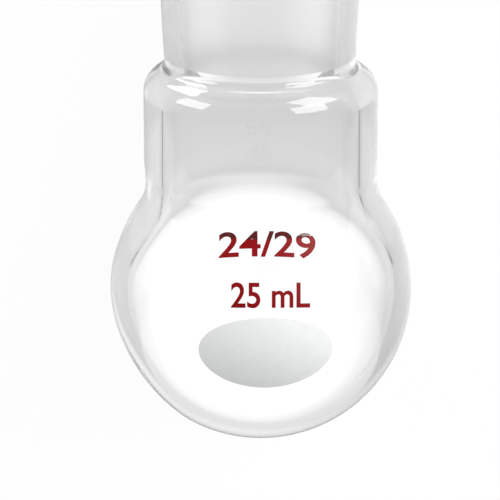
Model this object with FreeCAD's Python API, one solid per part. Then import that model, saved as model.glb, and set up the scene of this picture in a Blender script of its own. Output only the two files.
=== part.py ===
import FreeCAD, Part

import math
import os

# A single-neck round-bottom flask of heavy borosilicate glass, in millimetres.
# The bulb, the wide neck, the shoulder and the ground socket are one blown and welded piece.
# A matt writing spot of white enamel is fired onto the front of the bulb.
# Such a flask can't stand, so it lies on a table with the spot up, on its bulb and on its rim.
# Both shapes are drawn upright first: z runs up the flask's own axis, and z = 0 is
# the widest ring of the bulb.

# Bulb, outside
bulb_radius = 21.0
bulb_band = 0.4            # straight band below the widest ring, which makes the bulb a little long

# Bulb, inside: blown a little thinner towards the bottom
bulb_wall = 2.4            # at the widest ring
bottom_wall = 2.2

# Wide neck, the tube that the bulb was blown from
neck_radius = 16.1
neck_wall = 2.8
neck_flare_outside = 7.0   # radius of the blend from bulb to neck
neck_flare_inside = 9.5

# Shoulder, where the socket is welded on
shoulder_height = 31.8     # top of the shoulder above the widest ring
shoulder_round = 3.6
shoulder_wall = 1.9        # glass over the neck's cavity, at its inside corner
roof_round = 1.6           # inside corner of the cavity under the shoulder
weld_round = 1.3           # blend from the shoulder to the socket's wall
throat_round = 4.0         # the bore's lower end widens along this round, straight into the inside corner

# Ground socket 24/29: 24 mm wide at its large end, 29 mm long
socket_bore = 24.0
socket_length = 29.0
socket_taper = 1 / 10      # on the diameter
socket_wall = 2.55

# Rim
rim_round = 1.75           # radius of the rounded bead
rim_neck_round = 1.0       # blend from the bead to the socket's wall

# Enamel writing spot
spot_width = 18.0
spot_height = 10.4
spot_drop_angle = 6.3      # degrees below the widest ring
spot_aside = 0.6           # to the right of the middle
spot_thickness = 0.08

V = FreeCAD.Vector
half_taper = math.atan(socket_taper / 2)
throat_reach = socket_bore / 2 - socket_length * socket_taper / 2
roof_reach = neck_radius - neck_wall - roof_round
roof_height = shoulder_height - shoulder_wall - roof_round
throat_height = roof_height + math.sqrt(
    (roof_round + throat_round) ** 2 - (throat_reach + throat_round - roof_reach) ** 2)
mouth_height = throat_height + socket_length
rim_reach = socket_bore / 2 + rim_round


def point(r, z):
    return V(r, 0, z)


def arc(start, end, centre):
    """The arc under half a turn from start to end about centre."""
    radius = (start - centre).Length
    middle = (start - centre) + (end - centre)
    middle.normalize()
    return Part.Arc(start, centre + middle * radius, end).toShape()


def line(start, end):
    return Part.LineSegment(start, end).toShape()


def turned(edges):
    """The solid that a closed profile sweeps about the flask's axis."""
    return Part.Face(Part.Wire(edges)).revolve(V(0, 0, 0), V(0, 0, 1), 360)


def towards(start, end, distance):
    """The point that lies a distance from start on the way to end."""
    way = end - start
    way.normalize()
    return start + way * distance


def blend_of_balls(centre, radius, blend_radius, blend_reach):
    """Centre of a blend, at blend_reach from the axis, that touches a ball from outside, above it."""
    rise = math.sqrt((radius + blend_radius) ** 2 - (blend_reach - centre.x) ** 2)
    return point(blend_reach, centre.z + rise)


def wall_reach(z):
    """Distance of the socket's outside wall from the axis at a height."""
    return socket_bore / 2 - (mouth_height - z) * math.tan(half_taper) + socket_wall / math.cos(half_taper)


def blend_on_wall(centre, radius, blend_radius, sign):
    """Centre of a blend that touches the socket's outside wall and a ball or ring of a radius.

    sign is 1 where the blend lies above the ring, and -1 where it lies below."""
    along = V(math.sin(half_taper), 0, math.cos(half_taper))
    start = point(wall_reach(centre.z) + blend_radius / math.cos(half_taper), centre.z)
    gap = start - centre
    middle = -gap.dot(along)
    across = (gap + along * middle).Length
    return start + along * (middle + sign * math.sqrt((radius + blend_radius) ** 2 - across ** 2))


def foot_on_wall(centre, blend_radius):
    """Where a blend outside the socket touches its outside wall."""
    return centre - V(math.cos(half_taper), 0, -math.sin(half_taper)) * blend_radius


def outside_solid():
    ball = point(0, 0)
    low_ball = point(0, -bulb_band)
    flare = blend_of_balls(ball, bulb_radius, neck_flare_outside, neck_radius + neck_flare_outside)
    shoulder = point(neck_radius - shoulder_round, shoulder_height - shoulder_round)
    weld = blend_on_wall(shoulder, shoulder_round, weld_round, 1)
    rim = point(rim_reach, mouth_height)
    under_rim = blend_on_wall(rim, rim_round, rim_neck_round, -1)

    bottom = point(0, -bulb_band - bulb_radius)
    widest_low = point(bulb_radius, -bulb_band)
    widest = point(bulb_radius, 0)
    flare_low = towards(ball, flare, bulb_radius)
    flare_high = point(neck_radius, flare.z)
    shoulder_low = point(neck_radius, shoulder.z)
    shoulder_high = towards(shoulder, weld, shoulder_round)
    weld_high = foot_on_wall(weld, weld_round)
    rim_low = foot_on_wall(under_rim, rim_neck_round)
    rim_side = towards(rim, under_rim, rim_round)
    rim_top = point(rim.x, rim.z + rim_round)
    top = point(0, rim_top.z)
    return turned([
        arc(bottom, widest_low, low_ball),
        line(widest_low, widest),
        arc(widest, flare_low, ball),
        arc(flare_low, flare_high, flare),
        line(flare_high, shoulder_low),
        arc(shoulder_low, shoulder_high, shoulder),
        arc(shoulder_high, weld_high, weld),
        line(weld_high, rim_low),
        arc(rim_low, rim_side, under_rim),
        arc(rim_side, point(rim.x + rim_round, rim.z), rim),
        arc(point(rim.x + rim_round, rim.z), rim_top, rim),
        line(rim_top, top),
        line(top, bottom),
    ])


def cavity_solid():
    radius = bulb_radius - bulb_wall
    ball = point(0, -(bulb_band + bulb_radius - bottom_wall - radius))
    reach = neck_radius - neck_wall
    flare = blend_of_balls(ball, radius, neck_flare_inside, reach + neck_flare_inside)
    roof = point(roof_reach, roof_height)
    throat = point(throat_reach + throat_round, throat_height)

    bottom = point(0, ball.z - radius)
    flare_low = towards(ball, flare, radius)
    flare_high = point(reach, flare.z)
    roof_low = point(reach, roof.z)
    roof_high = towards(roof, throat, roof_round)
    throat_high = point(throat_reach, throat.z)
    ground_high = point(socket_bore / 2, mouth_height)
    lip_top = point(rim_reach, mouth_height + rim_round)
    top = point(0, lip_top.z)
    return turned([
        arc(bottom, flare_low, ball),
        arc(flare_low, flare_high, flare),
        line(flare_high, roof_low),
        arc(roof_low, roof_high, roof),
        arc(roof_high, throat_high, throat),
        line(throat_high, ground_high),
        arc(ground_high, lip_top, point(rim_reach, mouth_height)),
        line(lip_top, top),
        line(top, bottom),
    ])


def bulb_envelope(radius):
    """The bulb's outside without a neck, at a radius."""
    upper = Part.makeSphere(radius, V(0, 0, 0))
    lower = Part.makeSphere(radius, V(0, 0, -bulb_band))
    band = Part.makeCylinder(radius, bulb_band, V(0, 0, -bulb_band))
    return upper.fuse([lower, band])


def glass_solid():
    return outside_solid().cut(cavity_solid())


def spot_solid():
    """A skin of enamel on the bulb inside an ellipse that faces straight out of the glass."""
    wide = spot_width / 2
    high = spot_height / 2
    disc = Part.Face(Part.Wire(Part.Ellipse(V(wide, 0, 0), V(0, high, 0), V(0, 0, 0)).toShape()))
    stamp = disc.extrude(V(0, 0, 2 * bulb_radius))
    stamp.rotate(V(0, 0, 0), V(1, 0, 0), 90 + spot_drop_angle)
    stamp.translate(V(spot_aside, 0, -bulb_band))
    skin = bulb_envelope(bulb_radius + spot_thickness).cut(bulb_envelope(bulb_radius))
    return skin.common(stamp).removeSplitter()


def lean_at_rest():
    """How far the mouth dips below level, in degrees, when bulb and rim touch the same table."""
    far = math.hypot(rim_reach, mouth_height)
    return math.degrees(math.atan2(mouth_height, rim_reach) - math.acos((bulb_radius - rim_round) / far))


def laid_down(shape):
    """The upright shape lying on z = 0 with its spot up, its mouth towards +y and its middle over the origin."""
    lean = math.radians(lean_at_rest())
    laid = shape.copy()
    laid.rotate(V(0, 0, 0), V(1, 0, 0), -90 - math.degrees(lean))
    bottom_end = bulb_radius + bulb_band * math.cos(lean)
    mouth_end = mouth_height * math.cos(lean) + rim_reach * math.sin(lean) + rim_round
    laid.translate(V(0, (bottom_end - mouth_end) / 2, bulb_radius))
    return laid


def main():
    os.makedirs("parts", exist_ok=True)
    for name, shape in (("flask", glass_solid()), ("writing_spot", spot_solid())):
        laid = laid_down(shape)
        box = laid.optimalBoundingBox(False)
        print(name, "solids", len(laid.Solids), "valid", laid.isValid(), "volume mm3", round(laid.Volume, 1),
              "x", round(box.XMin, 3), round(box.XMax, 3), "y", round(box.YMin, 3), round(box.YMax, 3),
              "z", round(box.ZMin, 3), round(box.ZMax, 3))
        laid.exportStep("parts/" + name + ".step")
    print("lean at rest, degrees", round(lean_at_rest(), 3))


main()
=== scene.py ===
import math

import bmesh
import bpy
from mathutils import Matrix, Vector


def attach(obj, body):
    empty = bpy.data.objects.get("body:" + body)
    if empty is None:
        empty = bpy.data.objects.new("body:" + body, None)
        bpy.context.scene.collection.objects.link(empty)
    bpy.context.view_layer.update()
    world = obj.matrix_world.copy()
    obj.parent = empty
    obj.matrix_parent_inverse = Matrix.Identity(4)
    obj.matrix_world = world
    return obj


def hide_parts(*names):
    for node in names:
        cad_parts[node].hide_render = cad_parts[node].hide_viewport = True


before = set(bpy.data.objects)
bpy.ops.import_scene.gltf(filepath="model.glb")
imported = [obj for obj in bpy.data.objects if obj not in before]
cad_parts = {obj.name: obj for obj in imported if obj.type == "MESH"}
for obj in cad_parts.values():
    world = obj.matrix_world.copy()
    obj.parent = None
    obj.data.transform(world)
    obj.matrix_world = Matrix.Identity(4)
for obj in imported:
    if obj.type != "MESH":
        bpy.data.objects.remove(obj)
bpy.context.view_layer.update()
mm = 0.001
mergeWithin = 0.0001  # points that are nearer than this become one

# The flask is drawn upright, as the CAD source draws it, and then laid down in one move.
# Upright, z runs up its own axis from the widest ring of the bulb, and the print faces -y.
# Only the inside corner under the shoulder and the throat are rounder here than there.
# Sizes are in millimetres until a piece is laid down.
flask = {
    "bulbRadius": 21.0, "bulbBand": 0.4, "bulbWall": 2.4, "bottomWall": 2.2,
    "neckRadius": 16.1, "neckWall": 2.8, "flareOutside": 7.0, "flareInside": 9.5,
    "shoulderHeight": 31.8, "shoulderRound": 3.6, "shoulderWall": 1.9, "roofRound": 2.8,
    "weldRound": 1.3, "throatRound": 5.16,
    "socketBore": 24.0, "socketLength": 29.0, "socketTaper": 0.1, "socketWall": 2.55,
    "rimRound": 1.75, "rimNeckRound": 1.0,
    "turnSteps": 200, "groundMargin": 0.01,
}
halfTaper = math.atan(flask["socketTaper"] / 2)
roofHeight = flask["shoulderHeight"] - flask["shoulderWall"] - flask["roofRound"]
boreLow = flask["socketBore"] / 2 - flask["socketLength"] * flask["socketTaper"] / 2
roofReach = flask["neckRadius"] - flask["neckWall"] - flask["roofRound"]
throatHeight = roofHeight + math.sqrt(
    (flask["roofRound"] + flask["throatRound"]) ** 2 - (boreLow + flask["throatRound"] - roofReach) ** 2)
mouthHeight = throatHeight + flask["socketLength"]
rimReach = flask["socketBore"] / 2 + flask["rimRound"]
lean = math.atan2(mouthHeight, rimReach) - math.acos(
    (flask["bulbRadius"] - flask["rimRound"]) / math.hypot(rimReach, mouthHeight))
bottomEnd = flask["bulbRadius"] + flask["bulbBand"] * math.cos(lean)
mouthEnd = mouthHeight * math.cos(lean) + rimReach * math.sin(lean) + flask["rimRound"]
middle = (bottomEnd - mouthEnd) / 2
laid = (Matrix.Translation((0, middle * mm, flask["bulbRadius"] * mm))
        @ Matrix.Rotation(-math.pi / 2 - lean, 4, "X") @ Matrix.Scale(mm, 4))


def newMaterial(name):
    material = bpy.data.materials.new(name)
    material.use_nodes = True
    nodes = material.node_tree.nodes
    return material, nodes, material.node_tree.links, nodes["Principled BSDF"], nodes["Material Output"]


def addNoise(nodes, links, grain, long=1.0, detail=2.0):
    # noise with a grain in millimetres, which is drawn out along the flask's axis
    place = nodes.new("ShaderNodeTexCoord")
    spread = nodes.new("ShaderNodeMapping")
    spread.vector_type = "TEXTURE"
    spread.inputs["Location"].default_value = (0, middle * mm, flask["bulbRadius"] * mm)
    spread.inputs["Rotation"].default_value = (-lean, 0, 0)
    spread.inputs["Scale"].default_value = (grain * mm, grain * mm * long, grain * mm)
    noise = nodes.new("ShaderNodeTexNoise")
    noise.inputs["Scale"].default_value = 1.0
    noise.inputs["Detail"].default_value = detail
    links.new(place.outputs["Object"], spread.inputs["Vector"])
    links.new(spread.outputs["Vector"], noise.inputs["Vector"])
    return noise.outputs["Fac"]


def addBump(nodes, links, height, depth, shader):
    bump = nodes.new("ShaderNodeBump")
    bump.inputs["Distance"].default_value = depth * mm
    links.new(height, bump.inputs["Height"])
    links.new(bump.outputs["Normal"], shader.inputs["Normal"])


def addTone(nodes, links, share, dark, light, socket):
    # a colour that wanders between two tones
    tone = nodes.new("ShaderNodeMix")
    tone.data_type = "RGBA"
    tone.inputs[6].default_value = (*dark, 1)
    tone.inputs[7].default_value = (*light, 1)
    links.new(share, tone.inputs[0])
    links.new(tone.outputs[2], socket)


glassLook = {"ior": 1.474, "tint": (0.88, 0.90, 0.89), "density": 3.0, "groundRoughness": 0.42,
             "drawnWidth": 1.6, "drawnLength": 14.0, "drawnDepth": 0.004}


def makeGlass():
    # clear borosilicate glass with faint drawn lines; the vertex values "ground" are 1 where it is ground
    material, nodes, links, glass, output = newMaterial("clearGlass")
    glass.inputs["Base Color"].default_value = (1, 1, 1, 1)
    glass.inputs["Transmission Weight"].default_value = 1.0
    glass.inputs["IOR"].default_value = glassLook["ior"]
    drawn = addNoise(nodes, links, glassLook["drawnWidth"], glassLook["drawnLength"], 0.0)
    addBump(nodes, links, drawn, glassLook["drawnDepth"], glass)
    ground = nodes.new("ShaderNodeAttribute")
    ground.attribute_name = "ground"
    rough = nodes.new("ShaderNodeMath")
    rough.operation = "MULTIPLY"
    rough.inputs[1].default_value = glassLook["groundRoughness"]
    links.new(ground.outputs["Fac"], rough.inputs[0])
    links.new(rough.outputs[0], glass.inputs["Roughness"])
    volume = nodes.new("ShaderNodeVolumeAbsorption")
    volume.inputs["Color"].default_value = (*glassLook["tint"], 1)
    volume.inputs["Density"].default_value = glassLook["density"]
    links.new(volume.outputs[0], output.inputs["Volume"])
    return material


enamelLook = {"dark": (0.61, 0.62, 0.62), "light": (0.67, 0.68, 0.68), "roughness": 0.6, "patch": 1.1,
              "grain": 0.12, "depth": 0.004}


def makeEnamel():
    material, nodes, links, enamel, _ = newMaterial("whiteEnamel")
    enamel.inputs["Roughness"].default_value = enamelLook["roughness"]
    patches = addNoise(nodes, links, enamelLook["patch"])
    addTone(nodes, links, patches, enamelLook["dark"], enamelLook["light"], enamel.inputs["Base Color"])
    addBump(nodes, links, addNoise(nodes, links, enamelLook["grain"]), enamelLook["depth"], enamel)
    return material


printLook = {"dark": (0.13, 0.0003, 0.001), "light": (0.2, 0.0006, 0.002), "roughness": 0.45,
             "specular": 0.15, "patch": 0.5, "grain": 0.15, "depth": 0.003}


def makePrint():
    material, nodes, links, enamel, _ = newMaterial("redEnamel")
    enamel.inputs["Roughness"].default_value = printLook["roughness"]
    enamel.inputs["Specular IOR Level"].default_value = printLook["specular"]
    patches = addNoise(nodes, links, printLook["patch"])
    addTone(nodes, links, patches, printLook["dark"], printLook["light"], enamel.inputs["Base Color"])
    addBump(nodes, links, addNoise(nodes, links, printLook["grain"]), printLook["depth"], enamel)
    return material


def flat(r, z):
    return Vector((r, 0, z))


def reachTowards(start, end, distance):
    return start + (end - start).normalized() * distance


def addLine(bm, last, end, steps=1):
    start = last.co.copy()
    for step in range(steps):
        last = bmesh.ops.extrude_vert_indiv(bm, verts=[last])["verts"][0]
        last.co = start.lerp(end, (step + 1) / steps)
    return last


def addArc(bm, last, centre, end, steps):
    start, stop = last.co - centre, end - centre
    turn = math.atan2(start.x * stop.z - start.z * stop.x, start.dot(stop))
    made = bmesh.ops.spin(bm, geom=[last], cent=centre, axis=(0, -1, 0), angle=turn, steps=steps)
    return [v for v in made["geom_last"] if isinstance(v, bmesh.types.BMVert)][0]


def wallReach(z, side):
    bore = flask["socketBore"] / 2 - (mouthHeight - z) * math.tan(halfTaper)
    return bore + side * flask["socketWall"] / math.cos(halfTaper)


def blendOnWall(centre, radius, blendRadius, sign):
    along = Vector((math.sin(halfTaper), 0, math.cos(halfTaper)))
    start = flat(wallReach(centre.z, 1) + blendRadius / math.cos(halfTaper), centre.z)
    gap = start - centre
    back = -gap.dot(along)
    across = (gap + along * back).length
    return start + along * (back + sign * math.sqrt((radius + blendRadius) ** 2 - across ** 2))


def footOnWall(centre, blendRadius):
    return centre - Vector((math.cos(halfTaper), 0, -math.sin(halfTaper))) * blendRadius


# Blown by hand, the flask is not quite even: the shoulder is a little higher towards the print, the socket
# stands a little aside, and the bulb is flatter at two places at -x. All are moves of under a millimetre.
uneven = {
    "shoulderForward": 0.4, "shoulderReach": 7.0, "shoulderDown": 0.5, "socketAside": -0.15,
    "flatsBelow": 16.0, "flatsReach": 3.0,
    "flats": [  # the way from the bulb's middle, the depth and the spread
        ((-0.81, 0.05, -0.59), 0.49, 0.108),
        ((-0.85, 0.0, 0.53), 0.32, 0.06),
    ],
}


def makeUneven(bm):
    shoulderMiddle = flask["shoulderHeight"] - uneven["shoulderDown"]
    flats = [(Vector(way).normalized(), depth, spread) for way, depth, spread in uneven["flats"]]
    for v in bm.verts:
        away = (v.co.z - shoulderMiddle) / uneven["shoulderReach"]
        if abs(away) < 1:
            fade = (1 - away ** 2) ** 2 / flask["neckRadius"]
            v.co.z -= fade * v.co.y * uneven["shoulderForward"]
        # the move aside grows over the shoulder and stays whole along the socket
        v.co.x += uneven["socketAside"] * min(max(away + 0.5, 0), 1)
        for way, depth, spread in flats:
            short = 1 - v.co.normalized().dot(way)
            if v.co.z < uneven["flatsBelow"] and short < uneven["flatsReach"] * spread:
                v.co -= v.co.normalized() * depth * math.exp(-(short / spread) ** 2)


def finishPiece(bm, name, material, replaced=None):
    makeUneven(bm)
    bm.transform(laid)
    mesh = bpy.data.meshes.new(name)
    bm.to_mesh(mesh)
    bm.free()
    mesh.materials.append(material)
    mesh.polygons.foreach_set("use_smooth", [True] * len(mesh.polygons))
    piece = bpy.data.objects.new(name, mesh)
    bpy.context.scene.collection.objects.link(piece)
    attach(piece, "root")
    if replaced:
        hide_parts(replaced)
    return piece


# how many edges each stretch of the flask's profile has
edges = {
    "bulb": 40, "bulbTop": 16, "flare": 8, "neck": 5, "shoulder": 26, "weld": 12, "socket": 8, "rim": 6,
    "lip": 8, "bore": 10, "throat": 20, "roof": 16, "innerFlare": 10, "innerBulb": 56,
}


def makeFlask(material):
    f = flask
    bm = bmesh.new()
    # outside, from the bottom of the bulb up to the rim
    rise = math.sqrt((f["bulbRadius"] + f["flareOutside"]) ** 2 - (f["neckRadius"] + f["flareOutside"]) ** 2)
    flare = flat(f["neckRadius"] + f["flareOutside"], rise)
    shoulder = flat(f["neckRadius"] - f["shoulderRound"], f["shoulderHeight"] - f["shoulderRound"])
    weld = blendOnWall(shoulder, f["shoulderRound"], f["weldRound"], 1)
    rim = flat(rimReach, mouthHeight)
    underRim = blendOnWall(rim, f["rimRound"], f["rimNeckRound"], -1)
    last = bm.verts.new(flat(0, -f["bulbBand"] - f["bulbRadius"]))
    last = addArc(bm, last, flat(0, -f["bulbBand"]), flat(f["bulbRadius"], -f["bulbBand"]), edges["bulb"])
    last = addLine(bm, last, flat(f["bulbRadius"], 0))
    last = addArc(bm, last, flat(0, 0), reachTowards(flat(0, 0), flare, f["bulbRadius"]), edges["bulbTop"])
    last = addArc(bm, last, flare, flat(f["neckRadius"], flare.z), edges["flare"])
    last = addLine(bm, last, flat(f["neckRadius"], shoulder.z), edges["neck"])
    last = addArc(bm, last, shoulder, reachTowards(shoulder, weld, f["shoulderRound"]), edges["shoulder"])
    last = addArc(bm, last, weld, footOnWall(weld, f["weldRound"]), edges["weld"])
    last = addLine(bm, last, footOnWall(underRim, f["rimNeckRound"]), edges["socket"])
    last = addArc(bm, last, underRim, reachTowards(rim, underRim, f["rimRound"]), edges["rim"])
    last = addArc(bm, last, rim, rim + flat(f["rimRound"], 0), edges["rim"])
    last = addArc(bm, last, rim, rim + flat(0, f["rimRound"]), edges["lip"])
    # over the lip and down the inside to the bottom of the bulb
    radius = f["bulbRadius"] - f["bulbWall"]
    ball = flat(0, -(f["bulbBand"] + f["bulbRadius"] - f["bottomWall"] - radius))
    reach = f["neckRadius"] - f["neckWall"]
    rise = math.sqrt((radius + f["flareInside"]) ** 2 - (reach + f["flareInside"]) ** 2)
    flare = flat(reach + f["flareInside"], ball.z + rise)
    roof = flat(roofReach, roofHeight)
    throat = flat(boreLow + f["throatRound"], throatHeight)
    last = addArc(bm, last, rim, flat(f["socketBore"] / 2, mouthHeight), edges["lip"])
    last = addLine(bm, last, flat(boreLow, throatHeight), edges["bore"])
    last = addArc(bm, last, throat, reachTowards(throat, roof, f["throatRound"]), edges["throat"])
    last = addArc(bm, last, roof, roof + flat(f["roofRound"], 0), edges["roof"])
    last = addLine(bm, last, flat(reach, flare.z), edges["neck"])
    last = addArc(bm, last, flare, reachTowards(ball, flare, radius), edges["innerFlare"])
    last = addArc(bm, last, ball, ball - flat(0, radius), edges["innerBulb"])
    bmesh.ops.spin(bm, geom=bm.verts[:] + bm.edges[:], cent=(0, 0, 0), axis=(0, 0, 1), angle=2 * math.pi,
                   steps=f["turnSteps"], use_merge=True)
    bmesh.ops.remove_doubles(bm, verts=bm.verts, dist=mergeWithin)
    bmesh.ops.recalc_face_normals(bm, faces=bm.faces)
    # the bore is ground from the throat to the mouth, on the inner side of the wall
    ground = bm.verts.layers.float.new("ground")
    for v in bm.verts:
        r = math.hypot(v.co.x, v.co.y)
        inZone = throatHeight - f["groundMargin"] < v.co.z < mouthHeight + f["groundMargin"]
        v[ground] = 1.0 if inZone and r < wallReach(v.co.z, 0.5) else 0.0
    openEdges = len([e for e in bm.edges if not e.is_manifold])
    print("flask faces", len(bm.faces), "open edges", openEdges, "volume mm3", round(bm.calc_volume(), 1))
    return finishPiece(bm, "flaskGlass", material, "flask")


def onBulb(place, way, lift):
    # where a line through an upright place, along way, leaves the bulb, lifted off the glass
    for band in (flask["bulbBand"], 0.0):
        start = place + Vector((0, 0, band))
        along = start.dot(way)
        out = start + way * (math.sqrt(along ** 2 - start.length_squared + flask["bulbRadius"] ** 2) - along)
        if band == 0.0 or out.z < band / 2:
            return out.normalized() * (flask["bulbRadius"] + lift) - Vector((0, 0, band))


sharpFrom = 0.5  # edges that turn by more radians than this are drawn sharp


def wrapOnBulb(bm, rise, aside, thickness, sunk):
    # lays a flat sheet in the x-y plane onto the bulb, where it faces rise degrees above the widest ring
    turn = Matrix.Rotation(math.radians(-rise), 3, "X")
    way, upwards = turn @ Vector((0, -1, 0)), turn @ Vector((0, 0, 1))
    bmesh.ops.recalc_face_normals(bm, faces=bm.faces)
    top = bmesh.ops.extrude_face_region(bm, geom=bm.faces[:])
    raised = {v for v in top["geom"] if isinstance(v, bmesh.types.BMVert)}
    for v in bm.verts:
        place = Vector((v.co.x + aside, 0, -flask["bulbBand"])) + upwards * v.co.y
        v.co = onBulb(place, way, thickness if v in raised else -sunk)
    bmesh.ops.recalc_face_normals(bm, faces=bm.faces)
    for e in bm.edges:
        e.smooth = e.calc_face_angle(0) < sharpFrom


spot = {"width": 18.0, "height": 10.4, "dropAngle": 6.3, "aside": 0.6, "thickness": 0.08, "sunk": 0.01,
        "rings": 11, "turnSteps": 96}


def makeSpot(material):
    bm = bmesh.new()
    last = addLine(bm, bm.verts.new((0, 0, 0)), Vector((1, 0, 0)), spot["rings"])
    bmesh.ops.spin(bm, geom=bm.verts[:] + bm.edges[:], cent=(0, 0, 0), axis=(0, 0, 1), angle=2 * math.pi,
                   steps=spot["turnSteps"], use_merge=True)
    bmesh.ops.remove_doubles(bm, verts=bm.verts, dist=mergeWithin)
    bmesh.ops.scale(bm, vec=(spot["width"] / 2, spot["height"] / 2, 1), verts=bm.verts)
    wrapOnBulb(bm, -spot["dropAngle"], spot["aside"], spot["thickness"], spot["sunk"])
    return finishPiece(bm, "writingSpot", material, "writing_spot")


# Each line of print has a width and a height, and stands so many degrees above the widest ring, and so far
# aside.
printing = {
    "thickness": 0.03, "sunk": 0.01, "grid": 0.4, "fontSize": 10, "bolder": 0.17,
    "lines": [
        ("volumePrint", "25 mL", 10.6, 3.45, 16.4, 1.25),
        ("jointPrint", "24/29", 13.0, 3.6, 35.2, 0.8),
    ],
}


def makePrintLine(name, text, width, height, rise, aside, material):
    curve = bpy.data.curves.new(name, "FONT")
    curve.body = text
    curve.size = printing["fontSize"]
    curve.offset = printing["bolder"]
    words = bpy.data.objects.new(name + "Letters", curve)
    bpy.context.scene.collection.objects.link(words)
    bpy.context.view_layer.update()
    mesh = words.evaluated_get(bpy.context.evaluated_depsgraph_get()).to_mesh()
    bm = bmesh.new()
    bm.from_mesh(mesh)
    bpy.data.objects.remove(words)
    bmesh.ops.remove_doubles(bm, verts=bm.verts, dist=mergeWithin)
    low = Vector((min(v.co.x for v in bm.verts), min(v.co.y for v in bm.verts), 0))
    high = Vector((max(v.co.x for v in bm.verts), max(v.co.y for v in bm.verts), 0))
    bmesh.ops.translate(bm, vec=-(low + high) / 2, verts=bm.verts)
    bmesh.ops.scale(bm, vec=(width / (high.x - low.x), height / (high.y - low.y), 1), verts=bm.verts)
    for axis, size in ((0, width), (1, height)):
        place = -size / 2 + printing["grid"]
        while place < size / 2:
            normal = Vector((1, 0, 0)) if axis == 0 else Vector((0, 1, 0))
            whole = bm.verts[:] + bm.edges[:] + bm.faces[:]
            bmesh.ops.bisect_plane(bm, geom=whole, plane_co=normal * place, plane_no=normal, dist=mergeWithin)
            place += printing["grid"]
    wrapOnBulb(bm, rise, aside, printing["thickness"], printing["sunk"])
    return finishPiece(bm, name, material)


# Painted light and shade on the floor, seen only by rays out of the glass: a painted white pool of light
# under the middle of the bulb and painted grey shade round it.
# Distances are in millimetres, from the point under the middle of the bulb.
stage = {"floorHalf": 3.0, "floorCells": 8, "floorSunk": 0.02, "floorWhite": 0.9, "floorRoughness": 0.9,
         "whiteShare": 0.95, "glassShare": 0.94}
shade = {
    "levels": [
        (0, 1.12), (16, 1.12), (20, 1.02), (24, 0.9), (26, 0.78), (28, 0.66), (31, 0.68), (36, 0.70),
        (44, 0.68), (60, 0.645), (100, 0.615),
    ],
    "aside": -1.5, "towardsNeck": 3.0, "towardsBottom": 0.35, "arch": 0.011,
    "widerFrom": -9.0, "widerTo": -33.0, "wider": 0.75,
    # painted side light on the floor: lighter at the left, darker at the right
    "left": 1.08, "right": 0.94, "sideReach": 40.0,
    # painted reflection: how light the floor is where the glass mirrors it
    "mirroredFrom": -38.0, "mirroredTo": -5.0, "mirroredLow": 0.08, "mirroredHigh": 0.85,
    "beyondFrom": -30.0, "beyondTo": -44.0, "beyond": 0.88,
    "socketFrom": 21.0, "socketTo": 28.0, "socketMiddle": 0.83, "socketSides": 1.13,
    "sidesFrom": 4.0, "sidesTo": 12.0, "outer": 0.66, "outerFrom": 16.0, "outerTo": 23.0,
    # painted lighter patches on the floor at both sides
    "lift": 0.08, "liftAcross": (22.0, 36.0, 4.0), "liftAlong": (6.0, 13.0, 4.0),
    # painted dark strips on the floor at both sides, which the glass shows as dark lines
    "gap": 0.6, "gapAcross": (44.0, 45.5, 1.0), "gapAlong": (2.0, 17.0, 2.0),
}


def connect(tree, value, socket):
    if isinstance(value, bpy.types.NodeSocket):
        tree.links.new(value, socket)
    else:
        socket.default_value = value


def addMath(tree, operation, *values):
    node = tree.nodes.new("ShaderNodeMath")
    node.operation = operation
    for value, socket in zip(values, node.inputs):
        connect(tree, value, socket)
    return node.outputs[0]


def addRange(tree, value, low, high, start, stop, kind="SMOOTHSTEP"):
    node = tree.nodes.new("ShaderNodeMapRange")
    node.interpolation_type = kind
    for given, socket in zip((value, low, high, start, stop), node.inputs):
        connect(tree, given, socket)
    return node.outputs[0]


def addBlend(tree, share, first, second):
    node = tree.nodes.new("ShaderNodeMix")
    for value, socket in zip((share, first, second), (node.inputs[0], node.inputs[2], node.inputs[3])):
        connect(tree, value, socket)
    return node.outputs[0]


def addWindow(tree, value, low, high, soft):
    # 1 between low and high, and 0 beyond a soft edge
    rise = addRange(tree, value, low - soft, low, 0.0, 1.0)
    return addMath(tree, "MULTIPLY", rise, addRange(tree, value, high, high + soft, 1.0, 0.0))


def addPatch(tree, across, along, kind, strength):
    # a patch at both sides, for the painted lighter patches and painted dark strips on the floor
    patch = addMath(tree, "MULTIPLY", addWindow(tree, across, *shade[kind + "Across"]),
                    addWindow(tree, along, *shade[kind + "Along"]))
    return addMath(tree, "MULTIPLY", patch, strength)


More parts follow.
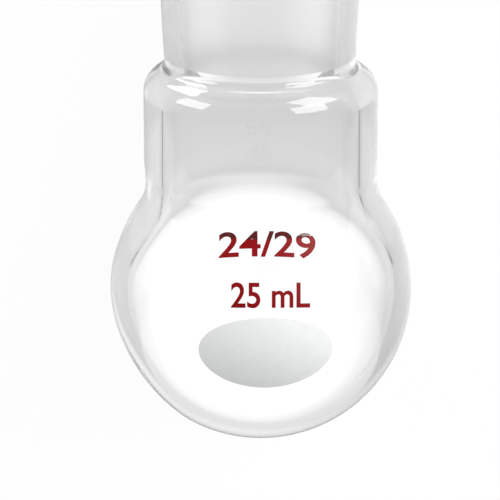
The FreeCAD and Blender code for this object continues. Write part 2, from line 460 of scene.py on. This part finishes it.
def addShades(tree):
    # painted light and shade on the floor: how light it is where a ray out of the glass meets it, and where
    # one mirrored by the glass does
    place = tree.nodes.new("ShaderNodeTexCoord")
    apart = tree.nodes.new("ShaderNodeSeparateXYZ")
    tree.links.new(place.outputs["Object"], apart.inputs[0])
    x = addMath(tree, "DIVIDE", apart.outputs["X"], mm)
    y = addMath(tree, "SUBTRACT", addMath(tree, "DIVIDE", apart.outputs["Y"], mm), middle)
    wider = addRange(tree, y, shade["widerTo"], shade["widerFrom"], shade["wider"], 1.0)
    across = addMath(tree, "MULTIPLY", addMath(tree, "SUBTRACT", x, shade["aside"]), wider)
    arched = addMath(tree, "MULTIPLY_ADD", addMath(tree, "MULTIPLY", x, x), shade["arch"], y)
    along = addMath(tree, "MAXIMUM", addMath(tree, "MULTIPLY", arched, shade["towardsNeck"]),
                    addMath(tree, "MULTIPLY", y, -shade["towardsBottom"]))
    squares = addMath(tree, "MULTIPLY_ADD", across, across, addMath(tree, "MULTIPLY", along, along))
    reach = addMath(tree, "SQRT", squares)
    # the painted pool of light: white under the middle of the bulb, fading to painted grey shade further off
    brightest, widest = shade["levels"][0][1], shade["levels"][-1][0]
    fade = tree.nodes.new("ShaderNodeValToRGB")
    fade.color_ramp.interpolation = "CARDINAL"
    stops = fade.color_ramp.elements
    while len(stops) < len(shade["levels"]):
        stops.new(0.5)
    for stop, (distance, level) in zip(stops, shade["levels"]):
        stop.position = distance / widest
        stop.color = (level / brightest,) * 3 + (1,)
    tree.links.new(addMath(tree, "DIVIDE", reach, widest), fade.inputs["Fac"])
    # painted side light: lighter at the left, darker at the right
    sides = addRange(tree, x, -shade["sideReach"], shade["sideReach"], shade["left"] * brightest,
                     shade["right"] * brightest, "LINEAR")
    aside = addMath(tree, "ABSOLUTE", x)
    # painted lighter patches at both sides
    lifted = addMath(tree, "ADD", fade.outputs["Color"], addPatch(tree, aside, y, "lift", shade["lift"]))
    # painted dark strips at both sides, which the glass shows as dark lines
    paintedDarkStrips = addMath(tree, "SUBTRACT", 1.0, addPatch(tree, aside, y, "gap", shade["gap"]))
    bulb = addMath(tree, "MULTIPLY", addMath(tree, "MULTIPLY", lifted, paintedDarkStrips), sides)
    # painted lighter floor beyond the bottom of the bulb
    beyond = addRange(tree, y, shade["beyondTo"], shade["beyondFrom"], shade["beyond"], 0.0)
    # painted shade under the socket: darker in the middle, lighter at the sides, darker again further out
    socket = addRange(tree, aside, shade["sidesFrom"], shade["sidesTo"],
                      shade["socketMiddle"], shade["socketSides"])
    socket = addMath(tree, "MULTIPLY", socket, addRange(tree, aside, shade["outerFrom"], shade["outerTo"],
                                                        1.0, shade["outer"]))
    underSocket = addRange(tree, y, shade["socketFrom"], shade["socketTo"], 0.0, 1.0)
    # painted reflection: what the glass mirrors of the floor is darker towards the bottom of the bulb and
    # lighter towards the neck
    mirrored = addRange(tree, y, shade["mirroredFrom"], shade["mirroredTo"], shade["mirroredLow"],
                        shade["mirroredHigh"], "LINEAR")
    return addBlend(tree, underSocket, addMath(tree, "MAXIMUM", bulb, beyond), socket), mirrored


def makeFloor():
    bm = bmesh.new()
    bmesh.ops.create_grid(bm, x_segments=stage["floorCells"], y_segments=stage["floorCells"],
                          size=stage["floorHalf"])
    bmesh.ops.translate(bm, vec=(0, 0, -stage["floorSunk"] * mm), verts=bm.verts)
    mesh = bpy.data.meshes.new("floor")
    bm.to_mesh(mesh)
    bm.free()
    floor = bpy.data.objects.new("floor", mesh)
    bpy.context.scene.collection.objects.link(floor)
    material, nodes, links, diffuse, output = newMaterial("floorWhite")
    tree = material.node_tree
    diffuse.inputs["Roughness"].default_value = stage["floorRoughness"]
    diffuse.inputs["Specular IOR Level"].default_value = 0.0
    path = nodes.new("ShaderNodeLightPath")
    # rays out of the glass see the painted light and shade, rays mirrored by the glass see the painted
    # reflection levels, and the camera sees plain white
    through, mirrored = addShades(tree)
    outside = addBlend(tree, path.outputs["Is Glossy Ray"], 1.0, mirrored)
    seen = addBlend(tree, path.outputs["Is Transmission Ray"], outside, through)
    links.new(addMath(tree, "MULTIPLY", seen, stage["floorWhite"]), diffuse.inputs["Base Color"])
    # a painted glow: rays out of the glass see the floor glow with the painted light and shade, and the
    # camera sees it glow evenly white
    glow = nodes.new("ShaderNodeEmission")
    links.new(seen, glow.inputs["Color"])
    seenShare = addMath(tree, "MULTIPLY", path.outputs["Is Camera Ray"], stage["whiteShare"])
    glassShare = addMath(tree, "MULTIPLY", path.outputs["Is Transmission Ray"], stage["glassShare"])
    share = addMath(tree, "ADD", seenShare, glassShare)
    blend = nodes.new("ShaderNodeMixShader")
    links.new(share, blend.inputs[0])
    links.new(diffuse.outputs[0], blend.inputs[1])
    links.new(glow.outputs[0], blend.inputs[2])
    links.new(blend.outputs[0], output.inputs["Surface"])
    mesh.materials.append(material)


world = {"grey": 0.36, "throughGlass": 0.85}


def makeWorld():
    sky = bpy.data.worlds.new("studio")
    bpy.context.scene.world = sky
    sky.use_nodes = True
    nodes, links = sky.node_tree.nodes, sky.node_tree.links
    path = nodes.new("ShaderNodeLightPath")
    tone = nodes.new("ShaderNodeMix")
    tone.data_type = "RGBA"
    tone.inputs[6].default_value = (world["grey"],) * 3 + (1,)
    tone.inputs[7].default_value = (world["throughGlass"],) * 3 + (1,)
    links.new(path.outputs["Is Transmission Ray"], tone.inputs[0])
    white = nodes.new("ShaderNodeMix")
    white.data_type = "RGBA"
    white.inputs[7].default_value = (1, 1, 1, 1)
    links.new(path.outputs["Is Camera Ray"], white.inputs[0])
    links.new(tone.outputs[2], white.inputs[6])
    links.new(white.outputs[2], nodes["Background"].inputs["Color"])


# A softbox stands so many degrees round the flask's axis from the print, to the right, and so many up it.
# A strip of light lies on the table at the left, where a glossy table would mirror the softbox.
softbox = {"aimUp": 20.0, "distance": 0.42, "width": 0.26, "height": 0.19, "brightness": 7.0}
lamps = {
    "left": {"round": -74, "up": 24},
    "rightLow": {"round": 50, "up": 21},
    "rightHigh": {"round": 75, "up": 46, "width": 0.34, "height": 0.24},
    "top": {"round": 18, "up": 14, "distance": 0.9, "width": 0.5, "height": 0.5, "brightness": 3.6,
            "mirrored": False},
}
strip = {"place": (-95, 106, 1), "turn": 45, "width": 0.03, "height": 0.196, "brightness": 7.0}


def addLamp(name, place, lamp):
    light = bpy.data.lights.new(name, "AREA")
    light.shape = "RECTANGLE"
    light.size, light.size_y = lamp["width"], lamp["height"]
    light.energy = lamp["brightness"] * math.pi * lamp["width"] * lamp["height"]
    holder = bpy.data.objects.new(name, light)
    bpy.context.scene.collection.objects.link(holder)
    holder.matrix_world = place
    holder.visible_camera = False
    holder.visible_glossy = lamp.get("mirrored", True)
    holder.visible_transmission = False


def makeLamps():
    turn = laid.to_3x3().normalized()
    for name, given in lamps.items():
        lamp = {**softbox, **given}
        aim = laid @ Vector((0, 0, lamp["aimUp"]))
        roundAxis, upAxis = math.radians(lamp["round"]), math.radians(lamp["up"])
        out = Vector((math.sin(roundAxis), -math.cos(roundAxis), 0)) * math.cos(upAxis)
        way = turn @ (out + Vector((0, 0, math.sin(upAxis))))
        side = (turn @ Vector((0, 0, 1))).cross(way).normalized()
        facing = Matrix((side, way.cross(side), way)).transposed().to_4x4()
        addLamp(name, Matrix.Translation(aim + way * lamp["distance"]) @ facing, lamp)
    facingUp = Matrix.Rotation(math.radians(strip["turn"]), 4, "Z") @ Matrix.Rotation(math.pi, 4, "X")
    addLamp("strip", Matrix.Translation(Vector(strip["place"]) * mm) @ facingUp, strip)


camera = {"elevation": 18.5, "distance": 0.45, "mmPerPixel": 0.14, "aimX": -1.5, "aimUp": 4.9,
          "pixels": 500, "clip": (0.01, 20)}


def makeCamera():
    e = math.radians(camera["elevation"])
    turn = laid.to_3x3().normalized()
    back = turn @ Vector((0, -math.cos(e), math.sin(e)))
    up = turn @ Vector((0, math.sin(e), math.cos(e)))
    right = up.cross(back)
    aim = laid @ Vector((0, 0, 0)) + right * camera["aimX"] * mm + up * camera["aimUp"] * mm
    data = bpy.data.cameras.new("camera")
    data.lens = data.sensor_width * camera["distance"] / (camera["pixels"] * camera["mmPerPixel"] * mm)
    data.clip_start, data.clip_end = camera["clip"]
    holder = bpy.data.objects.new("camera", data)
    bpy.context.scene.collection.objects.link(holder)
    facing = Matrix((right, up, back)).transposed().to_4x4()
    holder.matrix_world = Matrix.Translation(aim + back * camera["distance"]) @ facing
    bpy.context.scene.camera = holder


makeCamera()
glass, enamel, red = makeGlass(), makeEnamel(), makePrint()
makeFlask(glass)
makeSpot(enamel)
for name, text, width, height, rise, aside in printing["lines"]:
    makePrintLine(name, text, width, height, rise, aside, red)
print("pieces made, lean in degrees", round(math.degrees(lean), 3), "mouth at", round(mouthHeight, 3))
makeFloor()
makeWorld()
makeLamps()
bpy.context.scene.view_settings.view_transform = "Standard"
bounces = 64
bpy.context.scene.cycles.max_bounces = bounces
bpy.context.scene.cycles.transmission_bounces = bounces
bpy.context.scene.cycles.glossy_bounces = bounces
print("stage and lights made")
